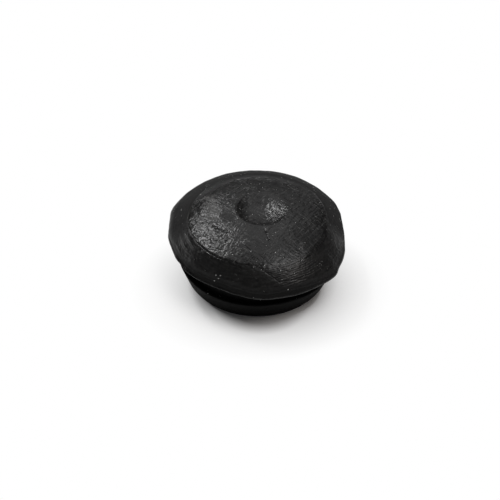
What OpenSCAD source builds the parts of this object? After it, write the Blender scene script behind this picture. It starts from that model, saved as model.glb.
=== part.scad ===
// Snap-in hole cover cap for a round hole in a panel, moulded in one piece from
// black rubber. The domed head hides the hole, the groove under it takes the
// panel's edge, and the tapered barb is pushed through the hole to hold it there.
// The rim has been trimmed by hand, so the head is a little out of round.
// Millimetres. The cap stands on the foot of its barb at z = 0, its axis along z.

/* [Barb] */
// Radius of the barb at its foot, on which the cap stands
barb_foot_r = 11.8; // [8:0.1:20]
// Radius of the barb's lip, which grips behind the panel
barb_lip_r = 13.3; // [9:0.1:24]
// Height of the barb from foot to lip
barb_h = 4; // [2:0.1:8]
// Round on the outer edge of the foot
foot_round = 0.5; // [0.1:0.1:1]
// Round on the edge of the lip
lip_round = 0.25; // [0.1:0.05:0.6]

/* [Groove for the panel] */
// Radius of the neck, half the width of the panel's hole
neck_r = 12; // [7:0.1:20]
// Width of the groove, the thickest panel it takes
groove_h = 2.8; // [1:0.1:5]
// Fillet where the neck meets the barb and the head
neck_fillet = 0.4; // [0.1:0.1:1]

/* [Head] */
// Radius of the rim before it is trimmed
rim_r = 16; // [10:0.1:25]
// Height of the rim's upright side where it is as moulded
rim_h = 1; // [0.5:0.1:3]
// Radius of the crease round the crown
crease_r = 11.4; // [6:0.1:18]
// Height of the crease above the rim's lower edge
crease_h = 4.4; // [2:0.1:8]
// Rise of the crown above its crease
crown_rise = 2; // [0.5:0.1:4]
// Where the crown's centre lies from the barb's axis, x and y
crown_shift = [0.2, -0.2]; // [-1:0.1:1]

/* [Hand-trimmed rim] */
// Bearing of each cut of the knife, in degrees
cut_bearing = [2, 20, 167, 215, 236, 270]; // [0:1:360]
// How far out from the barb's axis each cut passes
cut_reach = [14.5, 15.3, 15.35, 13.9, 13.65, 15]; // [9:0.05:24]
// Radius that each cut curves to
cut_curve = [30.5, 17.5, 17, 17.5, 24, 17.5]; // [10:0.5:40]
// Height of the rim's upright side where each cut passes
cut_h = [1.2, 1.1, 1.1, 1.4, 1.7, 1.7]; // [0.5:0.1:3]
// How far each cut comes in over the crease
crease_nip = 0.15; // [0.05:0.05:0.5]
// How far the flash stands out along the rim's lower edge
flash_out = 0.15; // [0.05:0.05:0.4]
// Thickness of the flash
flash_h = 0.2; // [0.1:0.05:0.5]

/* [Dimple in the crown] */
// Radius of the dimple at its edge
dimple_r = 4.25; // [2:0.05:6]
// Depth of the dimple below its edge
dimple_d = 0.9; // [0.2:0.1:2]
// Where the dimple's centre lies from the barb's axis, x and y
dimple_shift = [0.9, 0.4]; // [-2:0.1:2]

/* [Hollow underneath] */
// Radius of the hollow at its mouth
hollow_mouth_r = 8.6; // [5:0.1:10]
// Radius of the hollow at its roof
hollow_roof_r = 7.8; // [4:0.1:10]
// Height of the hollow's roof above the foot
hollow_h = 8.8; // [3:0.1:11]
// Round between the hollow's side and its roof
hollow_round = 2.5; // [0.5:0.1:4]
// Round on the edge of the hollow's mouth
mouth_round = 0.4; // [0.1:0.1:1]

/* [Hidden] */
$fn = 96;
head_z = barb_h + groove_h;
crease_z = head_z + crease_h;
crown_z = crease_z + crown_rise;
crown_ball_r = (crease_r * crease_r + crown_rise * crown_rise) / (2 * crown_rise);
dimple_ball_r = (dimple_r * dimple_r + dimple_d * dimple_d) / (2 * dimple_d);
dimple_off = norm(dimple_shift - crown_shift);
// Height of the dimple's edge: the crown's height there, less its sag across the dimple
dimple_edge_z = crown_z - 2 * crown_ball_r
    + sqrt(pow(crown_ball_r, 2) - pow(dimple_off, 2)) + sqrt(pow(crown_ball_r, 2) - pow(dimple_r, 2));
above = crown_z + crown_rise;

function unit(v) = v / norm(v);
function bearing(a) = [cos(a), sin(a)];

// The section through the points p, counter-clockwise, with each corner i rounded to
// rounds[i]. An inside corner gets a fillet, and a round of 0 leaves it sharp.
module section(p, rounds) {
    n = len(p);
    a = [for (i = [0:n - 1]) unit(p[(i + n - 1) % n] - p[i])];
    b = [for (i = [0:n - 1]) unit(p[(i + 1) % n] - p[i])];
    half = [for (i = [0:n - 1]) acos(a[i] * b[i]) / 2];
    corners = [for (i = [0:n - 1]) if (rounds[i] > 0) i];
    difference() {
        union() {
            polygon([for (i = [0:n - 1]) for (q = rounds[i] > 0
                ? [p[i] + a[i] * rounds[i] / tan(half[i]), p[i] + b[i] * rounds[i] / tan(half[i])]
                : [p[i]]) q]);
            for (i = corners) if (cross(b[i], a[i]) > 0) round_at(i);
        }
        for (i = corners) if (cross(b[i], a[i]) < 0) round_at(i);
    }

    module round_at(i) {
        translate(p[i] + unit(a[i] + b[i]) * rounds[i] / sin(half[i])) circle(rounds[i]);
    }
}

// The barb, the neck above it and the fillet under the head
module stem() {
    root_r = neck_r + 2 * neck_fillet;
    rotate_extrude()
        section([[0, 0], [barb_foot_r, 0], [barb_lip_r, barb_h], [neck_r, barb_h],
                 [neck_r, head_z], [root_r, head_z], [root_r, head_z + rim_h / 2], [0, head_z + rim_h / 2]],
                [0, foot_round, lip_round, neck_fillet, neck_fillet, 0, 0, 0]);
}

// A turned blank for the head: an upright rim of radius r and height h, and a skirt that
// closes in to radius t at the crease
module blank(r, h, t) {
    rotate_extrude()
        polygon([[0, head_z], [r, head_z], [r, head_z + h], [t, crease_z], [t, above], [0, above]]);
}

// What one cut of the knife leaves, with a skirt that comes in just over the crease on
// the cut's bearing
module trimmed_blank(cut) {
    in = cut_curve[cut] - cut_reach[cut];
    toward = bearing(cut_bearing[cut]);
    translate(-in * toward)
        blank(cut_curve[cut], cut_h[cut], in + crease_r - crease_nip + crown_shift * toward);
}

// The skirt as moulded, which runs on below the rim's upper edge to be cut off upright
module skirt() {
    run = (rim_r - crease_r) / (crease_h - rim_h);
    translate(crown_shift) rotate_extrude()
        polygon([[0, head_z], [rim_r + run * rim_h, head_z], [crease_r, crease_z], [crease_r, above], [0, above]]);
}

// The head: the skirt and its domed crown, with the rim cut back all round
module head() {
    intersection() {
        skirt();
        translate([0, 0, head_z]) cylinder(r = rim_r, h = above);
        intersection_for (cut = [0:len(cut_bearing) - 1]) trimmed_blank(cut);
        translate([crown_shift.x, crown_shift.y, crown_z - crown_ball_r]) sphere(crown_ball_r);
    }
}

// The thin flash left along the rim's lower edge, which follows the trimmed outline
module flash() {
    intersection() {
        translate([0, 0, head_z]) cylinder(r = rim_r + flash_out, h = flash_h);
        intersection_for (cut = [0:len(cut_bearing) - 1])
            translate([0, 0, head_z]) translate((cut_reach[cut] - cut_curve[cut]) * bearing(cut_bearing[cut]))
                cylinder(r = cut_curve[cut] + flash_out, h = flash_h);
    }
}

// The shallow round dimple moulded into the crown
module dimple() {
    translate([dimple_shift.x, dimple_shift.y, dimple_edge_z - dimple_d + dimple_ball_r]) sphere(dimple_ball_r);
}

// The hollow that lets the barb close in as it goes through the hole
module hollow() {
    wide = hollow_mouth_r + 2 * mouth_round;
    below = -mouth_round;
    rotate_extrude()
        section([[0, below], [wide, below], [wide, 0], [hollow_mouth_r, 0], [hollow_roof_r, hollow_h], [0, hollow_h]],
                [0, 0, 0, mouth_round, hollow_round, 0]);
}

module cap() {
    color([0.05, 0.05, 0.05]) difference() {
        union() {
            stem();
            head();
            flash();
        }
        dimple();
        hollow();
    }
}

cap();
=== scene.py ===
import math

import bpy
import numpy as np
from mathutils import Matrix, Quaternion, Vector, noise


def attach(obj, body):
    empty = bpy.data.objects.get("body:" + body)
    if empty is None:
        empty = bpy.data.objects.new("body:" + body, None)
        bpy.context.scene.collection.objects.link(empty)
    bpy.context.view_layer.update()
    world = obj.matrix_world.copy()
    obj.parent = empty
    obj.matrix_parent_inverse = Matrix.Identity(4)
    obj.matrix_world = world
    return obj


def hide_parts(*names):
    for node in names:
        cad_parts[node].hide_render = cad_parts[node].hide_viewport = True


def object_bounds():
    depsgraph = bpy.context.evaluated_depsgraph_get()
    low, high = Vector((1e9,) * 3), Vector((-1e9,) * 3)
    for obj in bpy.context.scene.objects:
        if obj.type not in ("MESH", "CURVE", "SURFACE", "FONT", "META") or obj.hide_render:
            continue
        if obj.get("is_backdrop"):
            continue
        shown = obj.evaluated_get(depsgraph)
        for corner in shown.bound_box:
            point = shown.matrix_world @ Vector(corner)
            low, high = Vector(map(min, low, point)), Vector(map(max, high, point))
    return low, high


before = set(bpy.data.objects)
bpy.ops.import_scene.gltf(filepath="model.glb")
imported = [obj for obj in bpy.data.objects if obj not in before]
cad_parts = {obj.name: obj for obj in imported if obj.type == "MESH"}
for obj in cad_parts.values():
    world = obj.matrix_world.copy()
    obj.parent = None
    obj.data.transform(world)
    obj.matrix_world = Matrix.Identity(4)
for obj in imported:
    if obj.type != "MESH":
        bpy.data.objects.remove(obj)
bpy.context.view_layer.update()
mm = 0.001


# ---- The view ------------------------------------------------------------
# A long lens looks down on the cap from the front at a little under 45 degrees,
# as at a small part that lies on a bench.

aim = Vector((0, 0, 6)) * mm
look_down = math.radians(42.5)
stand_off = 300 * mm
seen_width = 83.1 * mm

lens = bpy.data.cameras.new("bench_camera")
lens.sensor_width = 36
lens.lens = lens.sensor_width * stand_off / seen_width
lens.shift_x = -0.0126
lens.shift_y = -0.0181
lens.clip_start, lens.clip_end = 0.01, 20
camera = bpy.data.objects.new("bench_camera", lens)
bpy.context.collection.objects.link(camera)
camera.location = aim + Vector((0, -math.cos(look_down), math.sin(look_down))) * stand_off
camera.rotation_euler = (math.pi / 2 - look_down, 0, 0)
bpy.context.scene.camera = camera


# ---- The cap -------------------------------------------------------------
# One piece of moulded black rubber: a domed head with a dimple in its crown, a
# groove for the panel's edge, and a tapered barb that grips behind the panel.
# The rim's flash was cut away with a knife, so the head is a little out of round.

around = 384
dimple_rows, crown_rows, skirt_rows, side_rows = 26, 45, 62, 8
bearing = np.linspace(0, 2 * np.pi, around, endpoint=False)
east, north = np.cos(bearing), np.sin(bearing)

barb_foot_r, barb_lip_r, barb_h = 11.85, 13.2, 4.0
barb_x, barb_y = 0.15, -0.05
neck_r, groove_h = 12.0, 2.8
head_z = barb_h + groove_h
rim_r = 15.97
crease_r, crease_z, crown_rise = 11.4, head_z + 4.4, 2.0
crown_x, crown_y = 0.2, -0.2
dimple_r, dimple_d, dimple_x, dimple_y = 4.25, 1.2, 0.9, 0.4
dimple_lip_h, dimple_lip_w, dimple_lip_bearing = 0.045, 0.6, 150
hollow_mouth_r, hollow_roof_r, hollow_h = 8.6, 7.8, 8.8

# Each cut of the knife: its bearing, how far from the axis it passes, and its curve's radius
knife_cuts = [(2, 14.5, 30.5), (20, 15.3, 17.5), (167, 15.35, 17),
              (215, 13.9, 17.5), (236, 13.65, 24), (270, 15, 17.5)]

# The waves that it left in the rim: bearing and width in degrees, and how far they stand out
knife_waves = [(2, 12, 0.06), (20, 4, 0.14), (160, 3, 0.1), (170, 4, -0.05), (181, 5, 0.15),
               (209, 5, -0.16), (219, 5, -0.06), (235, 6, -0.08), (247, 6, -0.18), (259, 4, -0.1),
               (268, 4, 0.02), (281, 12, -0.2), (302, 8, -0.07), (312, 6, -0.12), (324, 3, -0.02),
               (330, 5, -0.32), (347, 7, 0.15)]


def reach_to_circle(x, y, r):
    """How far the circle of radius r round x, y lies from the axis, on each bearing."""
    along = x * east + y * north
    return along + np.sqrt(along**2 - x * x - y * y + r * r)


def bump_at(degrees, width, height):
    """A smooth bump at one bearing."""
    off = (np.degrees(bearing) - degrees + 180) % 360 - 180
    return height * np.exp(-((off / width) ** 2))


def facing(degrees):
    """1 towards a bearing, less to its sides and 0 from a right angle on."""
    return np.clip(np.cos(bearing - math.radians(degrees)), 0, 1)


reaches = [reach_to_circle(0, 0, rim_r)]
for degrees, reach, curve in knife_cuts:
    turn, back = math.radians(degrees), reach - curve
    reaches.append(reach_to_circle(back * math.cos(turn), back * math.sin(turn), curve))

# On each bearing the shortest reach wins, with the corners between cuts a little rounded
sharpness, middle_r = 14, 14
rim = middle_r - np.log(sum(np.exp(-sharpness * (r - middle_r)) for r in reaches)) / sharpness
for degrees, width, out in knife_waves:
    rim = rim + bump_at(degrees, width, out)

# A fine unevenness all round
rim = rim + 0.015 * np.sin(23 * bearing + 2.2) + 0.01 * np.sin(47 * bearing)

crease = crease_r + bump_at(245, 35, -0.15) + bump_at(305, 16, 0.35)

# How tall the rim's upright side is on some bearings, evened out between them
side_bearings = [0, 30, 60, 120, 150, 180, 205, 219, 229, 242, 253, 263, 273, 290, 304, 314, 325, 340, 360]
side_heights = [1.1, 1.1, 1.1, 1.1, 1.2, 1.3, 1.3, 1.35, 1.6, 1.72,
                1.8, 1.7, 1.55, 1.85, 1.6, 1.1, 0.8, 0.9, 1.1]
rim_side = np.interp(np.degrees(bearing), side_bearings, side_heights)
reach_over = 8
window = 2 * reach_over + 1
wrapped_side = np.r_[rim_side[-reach_over:], rim_side, rim_side[:reach_over]]
rim_side = np.convolve(wrapped_side, np.ones(window) / window, "valid")
ragged = sum(np.sin(k * bearing + 1.7 * k * k) / k**0.5 for k in (9, 14, 23, 31, 47, 58))
rim_side = rim_side + 0.035 * ragged


def crown_height(x, y):
    """The dome of the crown over the point x, y, with the lip round part of the dimple."""
    ball = (crease_r**2 + crown_rise**2) / (2 * crown_rise)
    dome = crease_z + crown_rise - ball + np.sqrt(ball**2 - (x - crown_x) ** 2 - (y - crown_y) ** 2)
    out = np.hypot(x - dimple_x, y - dimple_y) - dimple_r
    toward = np.cos(np.arctan2(y - dimple_y, x - dimple_x) - math.radians(dimple_lip_bearing))
    fade = np.exp(-np.maximum(out, -3 * out) / dimple_lip_w)
    return dome + dimple_lip_h * np.clip(toward, 0, 1) ** 0.7 * fade


rings, dullness_and_shade = [], []


def ring(x, y, z, dull=0.0):
    """One closed row of the skin, and how dull the rubber is along it, which also paints its base colour
    darker as shade.
    """
    rings.append(np.stack([x * np.ones(around), y * np.ones(around), z * np.ones(around)], 1))
    dullness_and_shade.append(dull * np.ones(around))


# The barb's lip is pressed down at the front right, and a little at the front left
lip_sag = bump_at(322, 24, 0.6) + bump_at(258, 26, 0.13)


def turned(section, steps, dull):
    """Rings round the barb's axis along a section, with steps rings after each point."""
    for (r0, z0), (r1, z1), n in zip(section, section[1:], steps):
        for k in range(1, n + 1):
            t = k / n
            r, z = r0 + (r1 - r0) * t, z0 + (z1 - z0) * t
            if z >= barb_h - 0.3:
                share = min(1, max(0, (r - neck_r) / (barb_lip_r - neck_r)))
            else:
                share = max(0, (z - 0.5) / 3.2)
            sag = lip_sag * share if r >= barb_foot_r and z <= barb_h else 0
            ring(barb_x + r * east, barb_y + r * north, z - sag, dull)


# The dimple, out from its middle: its wall is steep in front and at the left, and soft elsewhere
softness = 1.4 - 0.5 * facing(170) - 0.75 * facing(285)
for k in range(1, dimple_rows + 1):
    r = dimple_r * k / dimple_rows
    x, y = dimple_x + r * east, dimple_y + r * north
    lean = 1 - 0.4 * (x - dimple_x) / dimple_r - 0.3 * (y - dimple_y) / dimple_r
    ring(x, y, crown_height(x, y) - dimple_d * lean * (1 - (r / dimple_r) ** 2) ** softness)

# The crown, as far as its crease
dull_back = np.clip(1.6 * north - 0.45, 0, 1)
for k in range(1, crown_rows + 1):
    t = k / crown_rows
    r = dimple_r + (crease - 0.12 - dimple_r) * t
    x = dimple_x + (crown_x - dimple_x) * t + r * east
    y = dimple_y + (crown_y - dimple_y) * t + r * north
    ring(x, y, crown_height(x, y), dull_back * max(0, 4 * t - 3) ** 0.7)

# The skirt, from the crease down to the rim's upper edge, a little full in its middle. It is
# dull behind and much less so in front, and gleams along the rim at the back left; where it is dull its base
# colour is painted darker, as shade.
edge_x, edge_y = crown_x + crease * east, crown_y + crease * north
edge_z = crown_height(edge_x, edge_y)
skirt_r = rim - 0.04
fullness, crease_dip, edge_round = 0.176, 0.1, 0.15
side_top = head_z + rim_side
# Dull behind and at the sides, which also paints the base colour darker there as shade
behind_dull_and_shade = np.clip(1 + 2.4 * north - bump_at(203, 10, 0.15) - bump_at(330, 20, 0.3), 0.2, 1)
behind_dull_start = np.clip(0.5 + 2 * north, 0, 1)
gleam = 0.75 * np.clip(2.4 * np.cos(bearing - math.radians(150)) - 1, 0, 1)
for k in range(skirt_rows + 1):
    t = 0.012 + 0.988 * k / skirt_rows
    x = edge_x + (skirt_r * east - edge_x) * t
    y = edge_y + (skirt_r * north - edge_y) * t
    full = fullness * math.sin(math.pi * t)
    dip = crease_dip * math.exp(-t * 18)
    rounded = edge_round * max(0, (t - 0.86) / 0.14) ** 2
    z = edge_z - dip + (side_top - rounded - edge_z) * t + full
    skirt_dull_and_shade = np.maximum(behind_dull_and_shade * np.clip(4 * t + behind_dull_start, 0, 1), dull_back)
    at_rim = max(0, 1 - abs(t - 1) * 5)
    ring(x, y, z, np.maximum(skirt_dull_and_shade, at_rim) * (1 - gleam * max(0, 4 * t - 3)))

# The rim's upright side
side_start = len(rings)
side_high, side_low = side_top - 0.36, head_z + 0.24
for k in range(1, side_rows + 1):
    t = k / (side_rows + 1)
    r = rim + 0.02 * math.sin(math.pi * t)
    ring(r * east, r * north, side_high + (side_low - side_high) * t, 0.9)

# The thin flash at its foot, and the flat underside
flash = 0.07 + bump_at(213, 16, 0.2) + bump_at(250, 20, 0.08) + 0.015 * ragged
for out, up in ((0.02, 0.24), (0.5, 0.19), (0.95, 0.1), (1, 0.05), (0.9, 0.0), (0.1, 0.0)):
    r = rim + flash * out
    ring(r * east, r * north, head_z + up, 0.1)
underside_start = len(rings)
for t in (0.2, 0.45, 0.7, 0.9, 1):
    r = rim + (neck_r + 0.4 - rim) * t
    ring(r * east, r * north, head_z, 1)

# The neck between its fillets, then the barb's shelf, lip, side and foot, and the hollow
turned([(neck_r + 0.4, head_z), (neck_r + 0.12, head_z - 0.12), (neck_r, head_z - 0.4),
        (neck_r, barb_h + 0.4), (neck_r + 0.12, barb_h + 0.12), (neck_r + 0.4, barb_h),
        (barb_lip_r - 0.3, barb_h)],
       [2, 2, 6, 2, 2, 3], 1)
turned([(barb_lip_r - 0.3, barb_h), (barb_lip_r - 0.1, barb_h - 0.05), (barb_lip_r - 0.06, barb_h - 0.22),
        (barb_foot_r + 0.16, 0.5), (barb_foot_r, 0.22), (barb_foot_r - 0.2, 0.05), (barb_foot_r - 0.5, 0),
        (hollow_mouth_r + 0.4, 0)],
       [2, 2, 14, 2, 2, 2, 5], 1)
turned([(hollow_mouth_r + 0.4, 0), (hollow_mouth_r + 0.12, 0.12), (hollow_mouth_r, 0.4),
        (hollow_roof_r + 0.22, hollow_h - 2.4), (hollow_roof_r - 0.3, hollow_h - 1.3),
        (hollow_roof_r - 1.2, hollow_h - 0.35), (hollow_roof_r - 2.4, hollow_h), (1.2, hollow_h)],
       [2, 2, 9, 2, 2, 2, 6], 1)

dimple_bottom = [dimple_x, dimple_y, crown_height(dimple_x, dimple_y) - dimple_d]
hollow_middle = [barb_x, barb_y, hollow_h]
points = np.concatenate(rings + [[dimple_bottom], [hollow_middle]])
count = len(rings)
top, under = count * around, count * around + 1
faces = [(top, i, (i + 1) % around) for i in range(around)]
for k in range(count - 1):
    a, b = k * around, (k + 1) * around
    faces += [(a + i, b + i, b + (i + 1) % around, a + (i + 1) % around) for i in range(around)]
last = (count - 1) * around
faces += [(last + (i + 1) % around, last + i, under) for i in range(around)]

# Moulded rubber is never quite even: a slight swell over the whole skin of the head
for i, (x, y, z) in enumerate(points):
    if z > head_z + 0.5:
        spot = Vector((x, y, z))
        swell = 0.035 * noise.noise(spot * 0.45) + 0.018 * noise.noise(spot * 1.3 + Vector((7, 3, 1)))
        points[i, 2] += swell

cap_mesh = bpy.data.meshes.new("cap")
cap_mesh.from_pydata((points * mm).tolist(), [], faces)
cap_mesh.validate()
for face in cap_mesh.polygons:
    face.use_smooth = True
# How dull the rubber is, which the material also uses to paint the base colour darker as shade
dull = cap_mesh.attributes.new("dull", "FLOAT", "POINT")
dull.data.foreach_set("value", np.r_[np.concatenate(dullness_and_shade), 0, 0.6].astype("f"))
cap = bpy.data.objects.new("rubber_cap", cap_mesh)
bpy.context.collection.objects.link(cap)

rubber = bpy.data.materials.new("black_rubber")
rubber.use_nodes = True
nodes, links = rubber.node_tree.nodes, rubber.node_tree.links
skin = nodes["Principled BSDF"]
skin.inputs["Specular IOR Level"].default_value = 0.3


def feed(value, socket):
    """Sets a socket to a value, or links another socket to it."""
    if isinstance(value, bpy.types.NodeSocket):
        links.new(value, socket)
    else:
        socket.default_value = value


def calc(operation, *values):
    n = nodes.new("ShaderNodeMath")
    n.operation = operation
    for value, socket in zip(values, n.inputs):
        feed(value, socket)
    return n.outputs[0]


def chain(operation, values):
    result = values[0]
    for value in values[1:]:
        result = calc(operation, result, value)
    return result


def total(*values):
    return chain("ADD", values)


def product(*values):
    return chain("MULTIPLY", values)


def highest(*values):
    return chain("MAXIMUM", values)


def ramp(value, start, end, low=0.0, high=1.0):
    """Goes smoothly from low to high as value goes from start to end."""
    n = nodes.new("ShaderNodeMapRange")
    n.interpolation_type = "SMOOTHSTEP"
    for name, number in (("From Min", start), ("From Max", end), ("To Min", low), ("To Max", high)):
        n.inputs[name].default_value = number
    feed(value, n.inputs["Value"])
    return n.outputs["Result"]


def mixed(share, first, second):
    """The first colour where share is 0, and the second where it is 1."""
    n = nodes.new("ShaderNodeMix")
    n.data_type = "RGBA"
    feed(share, n.inputs[0])
    feed(first, n.inputs[6])
    feed(second, n.inputs[7])
    return n.outputs[2]


# Places on the skin in millimetres
place = nodes.new("ShaderNodeTexCoord")
in_mm = nodes.new("ShaderNodeVectorMath")
in_mm.operation = "SCALE"
in_mm.inputs["Scale"].default_value = 1 / mm
links.new(place.outputs["Object"], in_mm.inputs[0])
at = in_mm.outputs[0]
apart = nodes.new("ShaderNodeSeparateXYZ")
links.new(at, apart.inputs[0])
at_x, at_y, at_z = apart.outputs


def noise_at(per_mm, detail=2.0, rough=0.5, where=at):
    """Even noise from -1 to 1, with so many lumps to the millimetre."""
    n = nodes.new("ShaderNodeTexNoise")
    n.inputs["Scale"].default_value = per_mm
    n.inputs["Detail"].default_value = detail
    n.inputs["Roughness"].default_value = rough
    links.new(where, n.inputs["Vector"])
    return calc("MULTIPLY_ADD", n.outputs["Fac"], 2.0, -1.0)


def strokes(bearing_deg, per_mm, stretch):
    """Noise drawn out into short strokes that lie along a bearing."""
    n = nodes.new("ShaderNodeMapping")
    n.vector_type = "TEXTURE"
    n.inputs["Rotation"].default_value = (0, 0, math.radians(bearing_deg))
    n.inputs["Scale"].default_value = (stretch, 1, 1)
    links.new(at, n.inputs["Vector"])
    return noise_at(per_mm, 1.0, 0.5, n.outputs[0])


def length_of(x, y):
    return calc("SQRT", total(calc("POWER", x, 2.0), calc("POWER", y, 2.0)))


def from_point(x, y):
    """How far a place lies from x, y, seen from above."""
    return length_of(calc("SUBTRACT", at_x, x), calc("SUBTRACT", at_y, y))


def near(x, y, inner, outer, high=1.0):
    """1, or high, within inner of x, y, and 0 beyond outer."""
    return ramp(from_point(x, y), inner, outer, high, 0.0)


def scratch(x0, y0, x1, y1, half_width):
    """1 along the line between two places, seen from above, and 0 to its sides."""
    length = math.hypot(x1 - x0, y1 - y0)
    ux, uy = (x1 - x0) / length, (y1 - y0) / length
    from_x, from_y = calc("SUBTRACT", at_x, x0), calc("SUBTRACT", at_y, y0)
    along = total(product(from_x, ux), product(from_y, uy))
    across = total(product(from_x, -uy), product(from_y, ux))
    past = highest(product(along, -1.0), calc("SUBTRACT", along, length))
    return ramp(highest(calc("ABSOLUTE", across), past), 0.0, half_width, 1.0, 0.0)


def circle_line(from_middle, r, half_width):
    """1 along a circle of radius r, and 0 to its sides."""
    return ramp(calc("ABSOLUTE", calc("SUBTRACT", from_middle, r)), 0.0, half_width, 1.0, 0.0)


def round_axis(x, y, height):
    """Places for streaks that run round the axis without a seam, one above the other."""
    r = length_of(x, y)
    n = nodes.new("ShaderNodeCombineXYZ")
    links.new(product(calc("DIVIDE", x, r), 9.0), n.inputs["X"])
    links.new(product(calc("DIVIDE", y, r), 9.0), n.inputs["Y"])
    links.new(height, n.inputs["Z"])
    return n.outputs[0]


radius = from_point(crown_x, crown_y)
dimple_radius = from_point(dimple_x, dimple_y)
on_top = ramp(at_z, head_z + 1.0, head_z + 1.8)
on_skirt = product(ramp(radius, crease_r - 0.1, crease_r + 0.1), on_top)
wander = noise_at(0.35, 2.0)

# The left of the crown is scuffed, its back left is smooth, and the rest lies between
scuffed = highest(near(-8.2, -4.4, 3.4, 5.4), near(-3.4, 3.6, 0.8, 1.9), near(-7.6, 1.2, 0.9, 1.9),
                  near(3.6, -0.4, 1.8, 3.0), near(-1.2, 5.8, 0.7, 1.8))
smooth = highest(near(-10.6, 4.6, 2.8, 3.8), near(-11.2, 1.8, 1.6, 2.8), near(-4.9, -1.8, 0.8, 1.7))
patchy = ramp(noise_at(0.8), -0.4, 0.4, 0.45, 1.3)
rougher = calc("MULTIPLY_ADD", smooth, -0.85, 1.0)
tooth = product(calc("MULTIPLY_ADD", scuffed, 0.062, 0.026), rougher, patchy)
mottle = product(noise_at(1.7, 2.5, 0.55), tooth)
crossed = total(strokes(52, 2.2, 5.0), strokes(-38, 2.4, 4.0))
hatch_depth = total(0.024, product(scuffed, 0.016), near(8.0, 1.5, 3.0, 6.0, 0.016))
hatch = product(crossed, rougher, hatch_depth)


def waves(across, apart_mm, sway):
    """Even waves from -1 to 1 across a direction, a little out of line."""
    return calc("SINE", product(calc("MULTIPLY_ADD", wander, sway, across), 2 * math.pi / apart_mm))


# Rings left by the tool that cut the mould, close on the skirt and wider on the crown
ring_patch = highest(near(6.6, -11.0, 2.5, 5.5), ramp(noise_at(0.5), -0.2, 0.5, 0.0, 0.5))
ring_depth = ramp(noise_at(0.9), -0.4, 0.4, 0.003, 0.013)
skirt_rings = product(waves(radius, 0.27, 0.12), on_skirt, ring_patch, ring_depth)
across_crown = total(product(at_x, -0.83), product(at_y, 0.56))
line_depth = ramp(noise_at(1.3), -0.1, 0.4, 0.0, 0.02)
crown_lines = product(waves(across_crown, 0.42, 0.25), near(-3.0, -6.0, 1.0, 3.4), line_depth)
inner_arc = product(circle_line(dimple_radius, 3.5, 0.3), 0.02)
outer_arc = product(circle_line(dimple_radius, dimple_r, 0.22), 0.05)
dimple_arcs = product(near(-2.6, 0.8, 1.8, 3.4), calc("SUBTRACT", inner_arc, outer_arc))

# Cuts and pinches along the crease: a sharp line at the left, slices below it, and a raised line in front
crease_line = product(circle_line(radius, crease_r - 0.02, 0.1), near(-8.7, -7.1, 3.6, 5.4), -0.045)
slices = waves(radius, 0.8, 0.25)
slice_marks = product(ramp(slices, 0.2, 1.0), on_skirt, near(-11.1, -4.6, 0.8, 2.6, 0.09))
raised_line = product(circle_line(radius, crease_r + 0.4, 0.25), near(6.7, -9.6, 1.6, 3.4), 0.04)

# Single scratches: from one place to another, half the width, and the depth, which is up where positive
scratch_marks = [
    ((1.3, -4.5), (2.1, -6.9), 0.18, -0.06),
    ((-7.1, -3.3), (-4.8, -5.1), 0.22, -0.08),
    ((-9.0, -2.2), (-7.0, -1.3), 0.2, -0.05),
    ((1.5, -12.4), (3.7, -13.5), 0.16, -0.025),
    ((3.7, -13.5), (7.1, -12.6), 0.16, -0.03),
    ((-4.0, 9.9), (-3.0, 8.7), 0.3, 0.08),
    ((-9.7, -6.6), (-7.6, -9.2), 0.16, 0.03),
    ((-11.6, -6.2), (-10.4, -8.2), 0.16, 0.03),
    ((-2.2, -7.6), (-0.9, -8.9), 0.16, -0.03),
    ((-0.4, -14.7), (0.4, -14.9), 0.5, -0.15),
]
scratches = total(*(product(scratch(*start, *end, half_width), depth)
                    for start, end, half_width, depth in scratch_marks))

relief = nodes.new("ShaderNodeBump")
relief.inputs["Distance"].default_value = 1 * mm
grain_relief = product(noise_at(6.0, 2.0), 0.003)
links.new(total(mottle, hatch, skirt_rings, crown_lines, dimple_arcs, crease_line, slice_marks,
                raised_line, scratches, grain_relief), relief.inputs["Height"])
links.new(relief.outputs["Normal"], skin.inputs["Normal"])

dull_here = nodes.new("ShaderNodeAttribute")
dull_here.attribute_name = "dull"
dull_and_painted_shade = dull_here.outputs["Fac"]
fine_roughness = ramp(noise_at(3.0), -0.5, 0.5, 0.18, 0.27)
links.new(total(fine_roughness, product(dull_and_painted_shade, 0.66), product(smooth, -0.04)), skin.inputs["Roughness"])

# The rubber's own black, painted darker as shade where the rubber is dull, and over it the paler rubs,
# streaks and slices, and a pale streak at the crown's left that is a painted highlight
brushed = ramp(total(strokes(56, 1.8, 4.0), product(noise_at(2.6), 1.2)), -0.8, 0.8)
# Painted shade: where the rubber is dull its black is kept at the darker end
black = mixed(product(brushed, calc("MULTIPLY_ADD", dull_and_painted_shade, -0.8, 1.0)),
              (0.0045, 0.0044, 0.0044, 1), (0.013, 0.0128, 0.0126, 1))
streak_noise = noise_at(1.0, 3.0, 0.6, round_axis(at_x, at_y, product(radius, 4.5)))
ring_streaks = product(ramp(streak_noise, -0.2, 0.6, 0.0, 0.3), on_skirt)
rubs = highest(ramp(strokes(50, 2.6, 6.0), 0.15, 0.7), ramp(strokes(-40, 2.8, 5.0), 0.15, 0.7))
crown_rubs = product(rubs, patchy, calc("SUBTRACT", 1.0, on_skirt))
slice_edges = product(ramp(slices, 0.6, 1.0), on_skirt, near(-10.9, -4.9, 1.4, 2.8, 0.7))
broken_up = ramp(noise_at(2.2, 2.5), -0.4, 0.4, 0.1, 1.6)
# Painted highlight: a pale streak down the crown's left, where the window's sheen falls
painted_highlight_streak = product(scratch(-7.7, 3.9, -7.4, -0.9, 1.5), broken_up)
rubs_and_painted_highlight = product(total(crown_rubs, ring_streaks, slice_edges, painted_highlight_streak),
                       calc("MULTIPLY_ADD", dull_and_painted_shade, -0.5, 1.0))
links.new(mixed(rubs_and_painted_highlight, black, (0.06, 0.059, 0.058, 1)), skin.inputs["Base Color"])
cap_mesh.materials.append(rubber)
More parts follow.
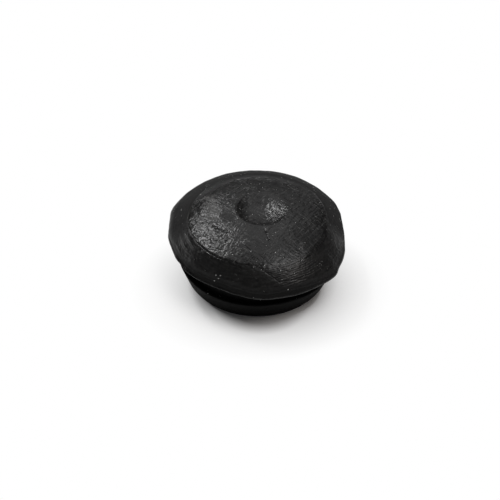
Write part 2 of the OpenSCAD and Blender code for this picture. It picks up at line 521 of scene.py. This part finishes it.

# Below the rim's edge the rubber is dull, and shows little of the sheet that it stands on; its colour is
# painted darker towards the bottom as the cap's contact shadow
dull_rubber = bpy.data.materials.new("dull_rubber")
dull_rubber.use_nodes = True
nodes, links = dull_rubber.node_tree.nodes, dull_rubber.node_tree.links
skin = nodes["Principled BSDF"]
skin.inputs["Specular IOR Level"].default_value = 0.08
place = nodes.new("ShaderNodeTexCoord")
apart = nodes.new("ShaderNodeSeparateXYZ")
links.new(place.outputs["Object"], apart.inputs[0])
side_x, side_y, side_z = (product(socket, 1 / mm) for socket in apart.outputs)
streaks = noise_at(1.0, 3.0, 0.6, round_axis(side_x, side_y, product(side_z, 3.2)))
links.new(ramp(streaks, -0.5, 0.5, 0.68, 0.86), skin.inputs["Roughness"])
# Painted shadow: the black gets darker towards the foot, where the sheet's shadow falls
lighter_above_painted_shadow = product(ramp(side_z, 0.5, 7.0), ramp(streaks, -0.6, 0.5, 0.3, 1.0))
links.new(mixed(lighter_above_painted_shadow, (0.002, 0.002, 0.002, 1), (0.012, 0.0118, 0.0116, 1)), skin.inputs["Base Color"])
relief = nodes.new("ShaderNodeBump")
relief.inputs["Distance"].default_value = 1 * mm
links.new(product(streaks, 0.05), relief.inputs["Height"])
links.new(relief.outputs["Normal"], skin.inputs["Normal"])
cap_mesh.materials.append(dull_rubber)

finish = np.zeros(len(cap_mesh.polygons), dtype=int)
for start, end in ((side_start, side_start + side_rows), (underside_start, count - 1)):
    finish[around * (start + 1):around * (end + 1)] = 1
finish[-around:] = 1
cap_mesh.polygons.foreach_set("material_index", finish)

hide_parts("cap")
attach(cap, "root")


# ---- The dust ------------------------------------------------------------
# Pale specks that cling to the rubber: a few fibres' ends large enough to count,
# and fine dust strewn over whatever faces up.

speck_at = [(-3.8, -9.4, 11.7), (-6.1, -12.0, 8.8), (-6.5, -11.5, 9.1), (-5.8, -11.8, 9.3),
            (-6.8, -11.9, 8.1), (5.1, -14.2, 8.4), (-7.9, -10.4, 4.0), (1.3, -11.4, 11.2),
            (3.1, -9.1, 11.9), (3.9, -12.0, 10.6), (4.1, -13.2, 9.7), (7.3, -9.9, 10.9),
            (-3.1, -2.2, 13.0), (-9.2, 5.6, 11.3), (-12.5, 3.4, 9.9), (3.1, -5.3, 12.7)]
on_the_skin = [tuple(cap.closest_point_on_mesh(Vector(spot) * mm)[1]) for spot in speck_at]
speck_mesh = bpy.data.meshes.new("specks")
speck_mesh.from_pydata(on_the_skin, [], [])
specks = bpy.data.objects.new("specks", speck_mesh)
bpy.context.collection.objects.link(specks)

lint = bpy.data.materials.new("pale_lint")
lint.use_nodes = True
nodes, links = lint.node_tree.nodes, lint.node_tree.links
skin = nodes["Principled BSDF"]
skin.inputs["Roughness"].default_value = 0.9
place = nodes.new("ShaderNodeTexCoord")
fibres = nodes.new("ShaderNodeTexNoise")
fibres.inputs["Scale"].default_value = 3000
links.new(place.outputs["Object"], fibres.inputs["Vector"])
lint_colour = mixed(fibres.outputs["Fac"], (0.7, 0.7, 0.68, 1), (0.95, 0.95, 0.93, 1))
links.new(lint_colour, skin.inputs["Base Color"])

dust_settings = {
    "Cap": ("NodeSocketObject", cap),
    "Speck Radius": ("NodeSocketFloat", 0.08 * mm),
    "Dust Radius": ("NodeSocketFloat", 0.04 * mm),
    "Dust Per Square Metre": ("NodeSocketFloat", 300000.0),
    "Seed": ("NodeSocketInt", 7),
    "Lint": ("NodeSocketMaterial", lint),
}
strew = bpy.data.node_groups.new("strewn_dust", "GeometryNodeTree")
strew.interface.new_socket("Geometry", in_out="INPUT", socket_type="NodeSocketGeometry")
for name, (kind, value) in dust_settings.items():
    strew.interface.new_socket(name, in_out="INPUT", socket_type=kind)
strew.interface.new_socket("Geometry", in_out="OUTPUT", socket_type="NodeSocketGeometry")


def step(kind, **settings):
    n = strew.nodes.new(kind)
    for name, value in settings.items():
        setattr(n, name, value)
    return n


def wire(start, out, end, into):
    strew.links.new(start.outputs[out], end.inputs[into])


given = step("NodeGroupInput")
result = step("NodeGroupOutput")
body = step("GeometryNodeObjectInfo", transform_space="ORIGINAL")
wire(given, "Cap", body, "Object")
normal = step("GeometryNodeInputNormal")
parts = step("ShaderNodeSeparateXYZ")
wire(normal, "Normal", parts, "Vector")
upward = step("FunctionNodeCompare", data_type="FLOAT", operation="GREATER_THAN")
upward.inputs["B"].default_value = 0.3
wire(parts, "Z", upward, "A")
scatter = step("GeometryNodeDistributePointsOnFaces")
wire(body, "Geometry", scatter, "Mesh")
wire(upward, "Result", scatter, "Selection")
wire(given, "Dust Per Square Metre", scatter, "Density")
wire(given, "Seed", scatter, "Seed")
grain = step("GeometryNodeMeshIcoSphere")
grain.inputs["Subdivisions"].default_value = 1
wire(given, "Dust Radius", grain, "Radius")
speck = step("GeometryNodeMeshIcoSphere")
speck.inputs["Subdivisions"].default_value = 2
wire(given, "Speck Radius", speck, "Radius")
join = step("GeometryNodeJoinGeometry")
for shape, source, out, low, high in ((grain, scatter, "Points", (0.5, 0.5, 0.3), (1.6, 1.2, 0.6)),
                                      (speck, given, "Geometry", (0.6, 0.5, 0.3), (1.3, 1.0, 0.6))):
    size = step("FunctionNodeRandomValue", data_type="FLOAT_VECTOR")
    size.inputs["Min"].default_value = low
    size.inputs["Max"].default_value = high
    turn = step("FunctionNodeRandomValue", data_type="FLOAT_VECTOR")
    turn.inputs["Max"].default_value = (0.4, 0.4, 2 * math.pi)
    for random in (size, turn):
        wire(given, "Seed", random, "Seed")
    placed = step("GeometryNodeInstanceOnPoints")
    wire(source, out, placed, "Points")
    wire(shape, "Mesh", placed, "Instance")
    wire(size, "Value", placed, "Scale")
    wire(turn, "Value", placed, "Rotation")
    wire(placed, "Instances", join, "Geometry")
real = step("GeometryNodeRealizeInstances")
dressed = step("GeometryNodeSetMaterial")
wire(join, "Geometry", real, "Geometry")
wire(real, "Geometry", dressed, "Geometry")
wire(given, "Lint", dressed, "Material")
wire(dressed, "Geometry", result, "Geometry")

strewn = specks.modifiers.new("strewn_dust", "NODES")
strewn.node_group = strew
for item in strew.interface.items_tree:
    if item.in_out == "INPUT" and item.name in dust_settings:
        strewn[item.identifier] = dust_settings[item.name][1]
lying = bpy.data.meshes.new_from_object(specks.evaluated_get(bpy.context.evaluated_depsgraph_get()))
specks.modifiers.clear()
specks.data = lying
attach(specks, "root")


# ---- The bench -----------------------------------------------------------
# A plain white sheet under the cap. It takes the cap's real soft shadow close by; beyond that
# a white glow, seen by the camera and in reflections, fades in with the distance from the cap and
# paints the shadow's soft edge and its reach to the front. Further out the sheet is clean white.

bench_mesh = bpy.data.meshes.new("bench")
bench_mesh.from_pydata([(-1.5, -1.5, 0), (1.5, -1.5, 0), (1.5, 1.5, 0), (-1.5, 1.5, 0)], [], [(0, 1, 2, 3)])
bench = bpy.data.objects.new("bench", bench_mesh)
bpy.context.collection.objects.link(bench)

sheet = bpy.data.materials.new("white_sheet")
sheet.use_nodes = True
nodes, links = sheet.node_tree.nodes, sheet.node_tree.links
paper = nodes["Principled BSDF"]
paper.inputs["Base Color"].default_value = (0.95, 0.95, 0.95, 1)
paper.inputs["Roughness"].default_value = 0.9
paper.inputs["Specular IOR Level"].default_value = 0.1
glow = nodes.new("ShaderNodeEmission")
glow.inputs["Color"].default_value = (1, 1, 1, 1)
ray = nodes.new("ShaderNodeLightPath")
seen = highest(ray.outputs["Is Camera Ray"], ray.outputs["Is Glossy Ray"], ray.outputs["Is Transmission Ray"])
place = nodes.new("ShaderNodeTexCoord")


def glow_from_distance(x, y, inner, outer, squeeze=1.0):
    """0 within inner of a place on the sheet, and 1 beyond outer, in millimetres."""
    squeezed = nodes.new("ShaderNodeVectorMath")
    squeezed.operation = "MULTIPLY"
    squeezed.inputs[1].default_value = (squeeze, 1, 1)
    links.new(place.outputs["Object"], squeezed.inputs[0])
    away = nodes.new("ShaderNodeVectorMath")
    away.operation = "DISTANCE"
    away.inputs[1].default_value = (x * mm, y * mm, 0)
    links.new(squeezed.outputs[0], away.inputs[0])
    n = nodes.new("ShaderNodeMapRange")
    n.inputs["From Min"].default_value = inner * mm
    n.inputs["From Max"].default_value = outer * mm
    links.new(away.outputs["Value"], n.inputs["Value"])
    return n.outputs["Result"]


# Painted shadow: the white glow fades in over these distances, drawing the soft edge of the cap's shadow and
# its longer reach in front
painted_shadow_falloff = calc("POWER", glow_from_distance(0.6, -4.7, 7.8, 17.2, squeeze=0.79), 0.56)
painted_shadow_front = glow_from_distance(0.8, -7.8, 5.6, 8.2)
both = nodes.new("ShaderNodeMixShader")
links.new(product(seen, painted_shadow_falloff, painted_shadow_front), both.inputs[0])
links.new(paper.outputs[0], both.inputs[1])
links.new(glow.outputs[0], both.inputs[2])
links.new(both.outputs[0], nodes["Material Output"].inputs["Surface"])
bench_mesh.materials.append(sheet)
bench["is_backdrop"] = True


# ---- The lamps -----------------------------------------------------------
# A bright window in three parts behind on the left, with a wide glow round it, and two
# weak glows behind. A soft box hangs overhead, with a slightly warm one on the right.

box_distance = 0.6


def soft_box(name, azimuth, elevation, wide, tall, level, colour=(1, 1, 1), roll=0):
    """A soft box that shows level times white, wide and tall in degrees as the cap sees it."""
    a, e = math.radians(azimuth), math.radians(elevation)
    toward = Vector((math.cos(a) * math.cos(e), math.sin(a) * math.cos(e), math.sin(e)))
    lamp = bpy.data.lights.new(name, "AREA")
    lamp.shape = "RECTANGLE"
    lamp.size = 2 * box_distance * math.tan(math.radians(wide / 2))
    lamp.size_y = 2 * box_distance * math.tan(math.radians(tall / 2))
    lamp.energy = level * math.pi * lamp.size * lamp.size_y
    lamp.color = colour
    box = bpy.data.objects.new(name, lamp)
    bpy.context.collection.objects.link(box)
    box.location = aim + toward * box_distance
    box.rotation_mode = "QUATERNION"
    box.rotation_quaternion = toward.to_track_quat("Z", "Y") @ Quaternion((0, 0, 1), math.radians(roll))


soft_box("window_high", 134, 51.5, 14, 7, 30, roll=60)
soft_box("window_middle", 125, 43.5, 10, 7, 11, roll=60)
soft_box("window_low", 112.5, 33, 12, 3, 13, roll=74)
soft_box("window_glow", 97, 64, 36, 34, 0.95)
soft_box("room_glow", 56, 54, 30, 30, 0.3)
soft_box("back_box", 86, 36, 38, 32, 0.5)
soft_box("overhead_box", -12, 70, 30, 24, 3.6)
soft_box("side_box", -22, 56, 22, 18, 2.3, colour=(1, 0.9, 0.83))

room = bpy.data.worlds.new("pale_room")
bpy.context.scene.world = room
room.use_nodes = True
sky = room.node_tree.nodes["Background"]
sky.inputs["Color"].default_value = (1, 1, 1, 1)
sky.inputs["Strength"].default_value = 0.08

bpy.context.scene.view_settings.view_transform = "Standard"


low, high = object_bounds()
